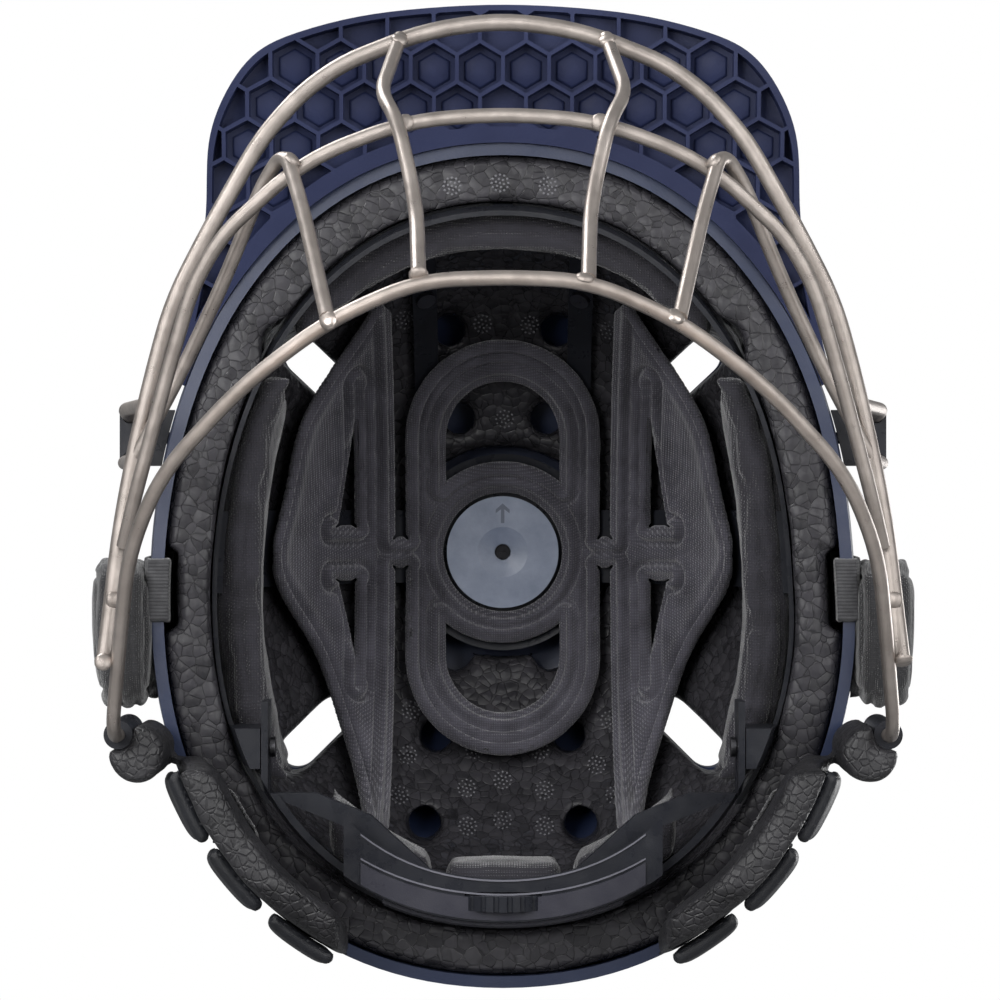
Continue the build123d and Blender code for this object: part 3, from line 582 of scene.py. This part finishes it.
def modify(piece, kind, **settings):
    """Adds a modifier with these settings and applies it."""
    modifier = piece.modifiers.new(kind.lower(), kind)
    for name, value in settings.items():
        setattr(modifier, name, value)
    apply_modifiers(piece)


def get_places(piece):
    places = np.empty(len(piece.data.vertices) * 3)
    piece.data.vertices.foreach_get("co", places)
    return places.reshape(-1, 3)


def set_places(piece, places):
    piece.data.vertices.foreach_set("co", places.reshape(-1))
    piece.data.update()


def get_normals(piece):
    normals = np.empty(len(piece.data.vertices) * 3)
    piece.data.vertex_normals.foreach_get("vector", normals)
    return normals.reshape(-1, 3)


def wrinkles(places, scale, seed):
    """Soft noise from -1 to 1 at each place."""
    shift = Vector((seed, seed, seed))
    return np.array([noise.noise(Vector(p) * scale + shift) for p in places])


def inflate(piece, pressure, cap):
    """Fills the piece like a cushion by a short cloth simulation. No point moves over cap millimetres."""
    start = get_places(piece)
    modifier = piece.modifiers.new("cloth", "CLOTH")
    cloth = modifier.settings
    cloth.quality = 6
    cloth.mass = 0.3
    cloth.tension_stiffness = cloth.compression_stiffness = 12
    cloth.shear_stiffness = 6
    cloth.bending_stiffness = 0.4
    cloth.use_pressure = True
    cloth.uniform_pressure_force = pressure
    cloth.shrink_min = -0.05
    cloth.effector_weights.gravity = 0
    modifier.collision_settings.use_self_collision = False
    scene = bpy.context.scene
    for moment in range(1, CLOTH_FRAMES + 1):
        scene.frame_set(moment)
    apply_modifiers(piece)
    scene.frame_set(1)
    moved = get_places(piece) - start
    length = np.linalg.norm(moved, axis=1, keepdims=True)
    moved *= np.minimum(1, cap * MM / np.maximum(length, TINY))
    set_places(piece, start + moved)


def edge_distances(tree, places):
    """Each place's distance in millimetres from the nearest sharp edge of the CAD node."""
    return np.array([tree.find(p)[2] for p in places]) / MM


def raise_by(piece, places, heights):
    """Puts the piece's points at these places, raised along its normals by these millimetres."""
    set_places(piece, places + get_normals(piece) * (heights * MM)[:, None])


def finish_soft(piece, node, look, body):
    """Gives a soft form its finish and smooth shading, hangs it on the body it rides on, and hides the CAD
    node it stands in for.
    """
    slot, finish = look
    for polygon in piece.data.polygons:
        polygon.use_smooth = True
    piece.data.materials.append(finish)
    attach(piece, body)
    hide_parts(node)


def soften(node, look, body, voxel, section, calm=3):
    """A soft piece in place of a CAD node: its shape in voxels of that size, raised along its normals.

    section(edge distances, places) gives the heights. All are in millimetres."""
    piece = copy_node(node)
    tree = edge_tree(piece.data)
    modify(piece, "REMESH", mode="VOXEL", voxel_size=voxel * MM)
    modify(piece, "SMOOTH", factor=0.5, iterations=calm)
    places = get_places(piece)
    raise_by(piece, places, section(edge_distances(tree, places), places))
    modify(piece, "SMOOTH", factor=0.5, iterations=1)
    finish_soft(piece, node, look, body)


def stuff(node, look, body, pressure=4.0, cap=3.0, fold=0.5, seam=0.0):
    """A stuffed fabric piece in place of a CAD node: inflated, folded, and drawn in along its seams."""
    piece = copy_node(node)
    tree = edge_tree(piece.data)
    modify(piece, "REMESH", mode="VOXEL", voxel_size=CLOTH_VOXEL)
    modify(piece, "SMOOTH", factor=0.5, iterations=6)
    inflate(piece, pressure, cap)
    modify(piece, "SUBSURF", levels=2, render_levels=2)
    places = get_places(piece)
    distance = edge_distances(tree, places)
    crease = wrinkles(places, FOLD_SCALE, seed=3) * fold * np.exp(-distance / FOLD_REACH)
    crease += wrinkles(places, SWELL_SCALE, seed=7) * fold * SWELL_SHARE
    crease -= seam * np.exp(-(((distance - SEAM_INSET) / SEAM_WIDTH) ** 2))
    raise_by(piece, places, crease)
    finish_soft(piece, node, look, body)


def piped(distance, places):
    """The comfort pad's section: a drawn-in lip, a welt and a groove beside it, and a faint inner swell."""
    section = -LIP_DROP * np.exp(-distance / LIP_WIDTH)
    for height, inset, width in PAD_RIDGES:
        section += height * np.exp(-(((distance - inset) / width) ** 2))
    return section + PAD_UNEVEN * wrinkles(places, PAD_UNEVEN_SCALE, seed=1)


def rounded_edge(radius, lump, scale):
    """A section that only rounds the edges, with lumps of that height and noise scale."""
    def section(distance, places):
        return -radius * np.exp(-distance / radius) + lump * wrinkles(places, scale, seed=2)
    return section


def tape_edge(distance):
    """The drop at the edges of webbing and hook tape."""
    return -TAPE_EDGE_DROP * np.exp(-distance / TAPE_EDGE_WIDTH)


def webbing_ribs(distance, places):
    """Ribs across the strap, which runs up the side of the helmet."""
    heights = (places - np.array(RIM_ORIGIN)) @ np.array(RIM_UP) / MM
    return WEBBING_RIB_HEIGHT * np.sin(2 * np.pi * heights / WEBBING_RIB) + tape_edge(distance)


def pile(distance, places):
    """The uneven surface of hook tape."""
    return PILE_HEIGHT * wrinkles(places, PILE_SCALE, seed=5) + tape_edge(distance)


def make_soft_pieces(looks):
    """Puts a soft form in place of each soft node. A look is a material slot and a finish."""
    soften("impact_liner", looks["foam"], "helmet", 1.5, rounded_edge(1.6, 0.25, 70))
    soften("comfort_pad", looks["comfort"], "helmet", 0.8, piped, calm=2)
    stuff("brow_pad", looks["fabric"], "helmet", cap=2.0, seam=0.9)
    stuff("nape_pad_centre", looks["fabric"], "rear_fit", cap=2.0)
    for side in SIDES:
        neck = "neck_" + side
        stuff("side_pad_" + side, looks["fabric"], "helmet", cap=2.5, seam=0.7)
        stuff("nape_pad_" + side, looks["fabric"], "rear_fit", cap=2.0)
        stuff("strap_sleeve_" + side, looks["nylon"], "helmet", cap=3.5, fold=0.9, seam=1.0)
        soften("chin_strap_" + side, looks["webbing"], "helmet", 0.5, webbing_ribs, calm=1)
        soften("neck_guard_" + side, looks["leather"], neck, 1.2, rounded_edge(1.8, 0.4, 110))
        soften("neck_blocks_" + side, looks["rubber"], neck, 0.9, rounded_edge(1.6, 0.1, 120))
        soften("hook_strip_" + side, looks["pile"], neck, 0.5, pile, calm=1)


# Small hard details

def new_piece(name, verts, faces, finish, body, smooth=True):
    """A visible piece that rides on a body and replaces no node."""
    mesh = bpy.data.meshes.new(name)
    mesh.from_pydata([tuple(v) for v in verts], [], faces)
    mesh.update()
    piece = bpy.data.objects.new(name, mesh)
    link(piece)
    for polygon in mesh.polygons:
        polygon.use_smooth = smooth
    mesh.materials.append(finish)
    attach(piece, body)


def ray_tree(*names):
    """A ray target made of these CAD nodes."""
    work = bmesh.new()
    for name in names:
        work.from_mesh(frame["nodes"][name].data)
    tree = BVHTree.FromBMesh(work)
    work.free()
    return tree


def add_lump(verts, faces, middle, out, radius, height, seed, rings=5, turns=12):
    """A low, slightly uneven dome at middle, facing out, with its radius and height in millimetres."""
    side = out.orthogonal().normalized()
    other = out.cross(side)
    radius, height = radius * MM, height * MM
    first = len(verts)
    verts.append(middle + out * height)
    for ring in range(1, rings + 1):
        angle = math.pi / 2 * ring / rings * LUMP_SWEEP
        reach = math.sin(min(angle, math.pi / 2))
        for turn in range(turns):
            way = 2 * math.pi * turn / turns
            uneven = 1 + LUMP_UNEVEN * noise.noise(Vector((seed * LUMP_SEED_STEP, ring, turn)))
            across = (side * math.cos(way) + other * math.sin(way)) * radius * reach * uneven
            verts.append(middle + across + out * (height * math.cos(angle)))
    for turn in range(turns):
        faces.append((first, first + 1 + turn, first + 1 + (turn + 1) % turns))
    for ring in range(rings - 1):
        for turn in range(turns):
            a = first + 1 + ring * turns + turn
            b = first + 1 + ring * turns + (turn + 1) % turns
            faces.append((a, a + turns, b + turns, b))


def make_dots(finish):
    """Clusters of small pale dots moulded on the foam, where the photograph shows them."""
    target = ray_tree("impact_liner")
    cover = ray_tree("comfort_pad", "cradle_frame", "headband", "fit_housing", "crown_hub")
    verts, faces = [], []
    for number, (px, py) in enumerate(DOT_CLUSTERS):
        for ring, count in enumerate(DOT_RINGS):
            reach = ring * DOT_PITCH_PX
            for step in range(count):
                way = 2 * math.pi * step / count + ring * DOT_RING_TURN
                ray = pixel_ray(px + reach * math.cos(way), py + reach * math.sin(way))
                place, normal, _, distance = target.ray_cast(EYE, ray)
                if not place or normal.dot(ray) >= DOT_FACING:
                    continue
                if cover.ray_cast(EYE, ray, distance)[0]:
                    continue
                add_lump(verts, faces, place, normal, DOT_RADIUS, DOT_HEIGHT, number, rings=2, turns=7)
    new_piece("foam_dots", verts, faces, finish, "helmet")


def make_welds(finish):
    """Weld beads where the guard's wires meet."""
    wires = ray_tree(*GUARD_WIRES)
    verts, faces = [], []
    for number, (px, py) in enumerate(WELDS):
        place, normal, _, _ = wires.ray_cast(EYE, pixel_ray(px, py))
        if place:
            foot = place - normal * WELD_SINK * MM
            add_lump(verts, faces, foot, normal, WELD_RADIUS, WELD_HEIGHT, number)
    new_piece("weld_beads", verts, faces, finish, "helmet")


def hexagon(x, y, radius):
    """The corners of a hexagon with two of its sides along y."""
    ways = [math.pi * (2 * corner + 1) / CELL_SIDES for corner in range(CELL_SIDES)]
    return [(x + radius * math.cos(way), y + radius * math.sin(way)) for way in ways]


def is_level(heights):
    """Whether the middle, which comes first, is about as high as the mean of each two opposite corners."""
    middle, corners = heights[0], heights[1:]
    half = CELL_SIDES // 2
    for start in range(0, len(corners), CELL_SIDES):
        for a, b in zip(corners[start:start + half], corners[start + half:start + CELL_SIDES]):
            if abs((a + b) / 2 - middle) > PLATE_WARP:
                return False
    return True


def add_plate(verts, faces, spots, heights):
    """A plate of rings of six corners around its middle, with its edge sunk in the pocket's floor."""
    first = len(verts)
    verts.extend(rim(x, y, z - rise * PLATE_RISE) for (x, y, rise), z in zip(spots, heights))
    for ring in range(len(PLATE_RINGS)):
        start = first + 1 + CELL_SIDES * ring
        for corner in range(CELL_SIDES):
            a, b = start + corner, start + (corner + 1) % CELL_SIDES
            faces.append((a, b, first) if ring == 0 else (a, b, b - CELL_SIDES, a - CELL_SIDES))


def make_cell_plates(finish):
    """A low hexagonal plate in the middle of each whole pocket of the peak."""
    target = ray_tree("peak")
    radius = (CELL_PITCH - CELL_RIB) / math.sqrt(3)
    verts, faces = [], []
    for row in range(CELL_ROWS):
        y = CELL_FRONT_Y + (row + CELL_ROW_SHARE) * CELL_PITCH * math.sqrt(3) / 2
        for column in range(-CELL_COLUMNS, CELL_COLUMNS + 1):
            x = column * CELL_PITCH + (CELL_PITCH / 2 if row % 2 else 0)
            spots = [(x, y, 1.0)]
            for share, rise in PLATE_RINGS:
                spots += [(px, py, rise) for px, py in hexagon(x, y, radius * share)]
            hits = [target.ray_cast(rim(px, py, CELL_PROBE_Z), RIM_UP)[0] for px, py, _ in spots]
            if not all(hits):
                continue
            heights = [to_rim(hit).z for hit in hits]
            if is_level(heights):
                add_plate(verts, faces, spots, heights)
    new_piece("cell_plates", verts, faces, finish, "helmet")


def add_strip(verts, faces, inner, outer, low, high):
    """A thin curved plate between two rows of plan points, given in the rim frame."""
    first, count = len(verts), len(inner)
    for (xi, yi), (xo, yo) in zip(inner, outer):
        verts.extend(rim(*p) for p in ((xi, yi, low), (xo, yo, low), (xo, yo, high), (xi, yi, high)))
    for step in range(count - 1):
        a, b = first + 4 * step, first + 4 * step + 4
        for i in range(4):
            j = (i + 1) % 4
            faces.append((a + i, a + j, b + j, b + i))
    faces.append((first + 3, first + 2, first + 1, first))
    last = first + 4 * (count - 1)
    faces.append((last, last + 1, last + 2, last + 3))


def underside(node):
    """The height in the rim frame of a CAD node's lowest point, in millimetres."""
    return min(to_rim(vertex.co).z for vertex in frame["nodes"][node].data.vertices)


def housing_walls():
    """Rows of plan points along the housing's inner and outer faces, and the height of its underside."""
    target = ray_tree("fit_housing")
    low = underside("fit_housing")
    rows = []
    for y, way in zip(HOUSING_PROBES, (RIM_BACK, -RIM_BACK)):
        row = []
        for step in range(STRIP_STEPS + 1):
            x = STRIP_HALF_LENGTH * (2 * step / STRIP_STEPS - 1)
            wall = target.ray_cast(rim(x, y, low + HOUSING_PROBE_RISE), way)[0]
            row.append((x, to_rim(wall).y))
        rows.append(row)
    return *rows, low


def make_housing_trim(pale, line):
    """The bare pale strip on the housing's underside, and thin paler lines along its steps that are painted
    highlight on their edges.
    """
    inner, outer, low = housing_walls()
    heights = low - STRIP_WALL, low + STRIP_SINK

    def beside(row, distance):
        return [(x, y + distance) for x, y in row]

    verts, faces = [], []
    strip = STRIP_WIDTH + STRIP_MARGIN
    add_strip(verts, faces, beside(outer, -strip), beside(outer, -STRIP_MARGIN), *heights)
    new_piece("housing_strip", verts, faces, pale, "rear_fit", smooth=False)
    # Paler lines along the steps: painted highlight on the step edges
    verts, faces = [], []
    step = strip + HIGHLIGHT_GAP
    add_strip(verts, faces, beside(outer, -step - HIGHLIGHT_WIDTH), beside(outer, -step), *heights)
    add_strip(verts, faces, beside(inner, HIGHLIGHT_INSET), beside(inner, HIGHLIGHT_INSET + HIGHLIGHT_WIDTH), *heights)
    new_piece("housing_painted_highlights", verts, faces, line, "rear_fit", smooth=False)


def make_arrow(finish):
    """A plain arrow on the hub's disc, pointing to the face."""
    face = underside("crown_hub")
    outline = [*ARROW_HALF, ARROW_TIP, *((-x, y) for x, y in reversed(ARROW_HALF))]
    verts = [rim(x, y, z) for z in (face - ARROW_WALL, face) for x, y in outline]
    count = len(outline)
    faces = [(i, (i + 1) % count, (i + 1) % count + count, i + count) for i in range(count)]
    faces.append(tuple(range(count)))
    new_piece("hub_arrow", verts, faces, finish, "helmet", smooth=False)


make_camera()
make_world()
make_lights()
make_floor()

navy = satin_paint("navy_shell", (0.008, 0.013, 0.034), (0.013, 0.02, 0.048), 0.36)
navy_peak = satin_paint("navy_peak", (0.009, 0.012, 0.035), (0.016, 0.021, 0.054), 0.5, 0.0, specular=0.14)
plastic = moulded_plastic("black_plastic", (0.006, 0.0065, 0.009), (0.013, 0.014, 0.018), 0.3, specular=0.3)
cover = moulded_plastic("cover_plastic", (0.018, 0.018, 0.024), (0.03, 0.03, 0.039), 0.34, specular=0.3)
plated_steel = steel("steel", (0.12, 0.12, 0.13))
# The hub's screw is near black: painted shade for the shade down in the hub's hole
dark_steel_painted_shade = steel("dark_steel_painted_shade", (0.02, 0.02, 0.022))
wire_finish = wire_paint()

paint_nodes([
    (navy, ["shell"]),
    (navy_peak, ["peak"]),
    (hub_plastic(), ["crown_hub"]),
    (plastic, ["crown_boss", "cradle_frame", "headband", "nape_yoke"]),
    (plastic, ["fit_housing", "fit_dial", "fit_pinion"]),
    (plastic, both("rear_arm", "neck_clip", "strap_anchor", "temple_bracket")),
    (cover, ["fit_cover"]),
    (dark_steel_painted_shade, ["hub_screw"]),
    (plated_steel, ["cradle_rivets", "headband_rivets", "arm_pins", "fit_shaft", "guard_screws"]),
    (wire_finish, GUARD_WIRES),
])
# The comfort pad's knit is a lighter copy of the pad fabric, about three times as bright: painted light
# standing in for light reaching deep into the cavity
comfort_fabric_painted_light = knit_fabric("comfort_fabric_painted_light", (0.026, 0.025, 0.032), (0.088, 0.085, 0.105))
pad_fabric = knit_fabric("pad_fabric", (0.009, 0.0085, 0.0115), (0.021, 0.02, 0.027))
sleeve_nylon = knit_fabric("sleeve_nylon", (0.006, 0.006, 0.007), (0.018, 0.018, 0.02), pitch=0.6)
guard_leather = leather_foam("guard_foam", (0.007, 0.007, 0.008), (0.019, 0.0185, 0.021))
rubber = moulded_plastic("block_rubber", (0.005, 0.0055, 0.007), (0.012, 0.013, 0.017), 0.46, grain=0.12)
make_soft_pieces({
    "foam": ("foam_bead", beaded_foam()),
    # The comfort look carries that lighter copy of the pad fabric, which is painted light
    "comfort": ("pad_fabric", comfort_fabric_painted_light),
    "fabric": ("pad_fabric", pad_fabric),
    "nylon": ("pad_fabric", sleeve_nylon),
    "webbing": ("webbing", ribbed_webbing()),
    "leather": ("guard_foam", guard_leather),
    "rubber": ("block_rubber", rubber),
    "pile": ("webbing", hook_pile()),
})
make_cell_plates(navy_peak)
make_dots(moulded_plastic("dot_grey", (0.09, 0.09, 0.1), (0.14, 0.14, 0.15), 0.5))
make_welds(wire_finish)
# The step lines' paler plastic is painted highlight on the housing's step edges
make_housing_trim(cover, moulded_plastic("step_painted_highlight", (0.07, 0.07, 0.085), (0.11, 0.11, 0.13), 0.4))
make_arrow(moulded_plastic("arrow_grey", (0.07, 0.085, 0.12), (0.09, 0.105, 0.14), 0.45))
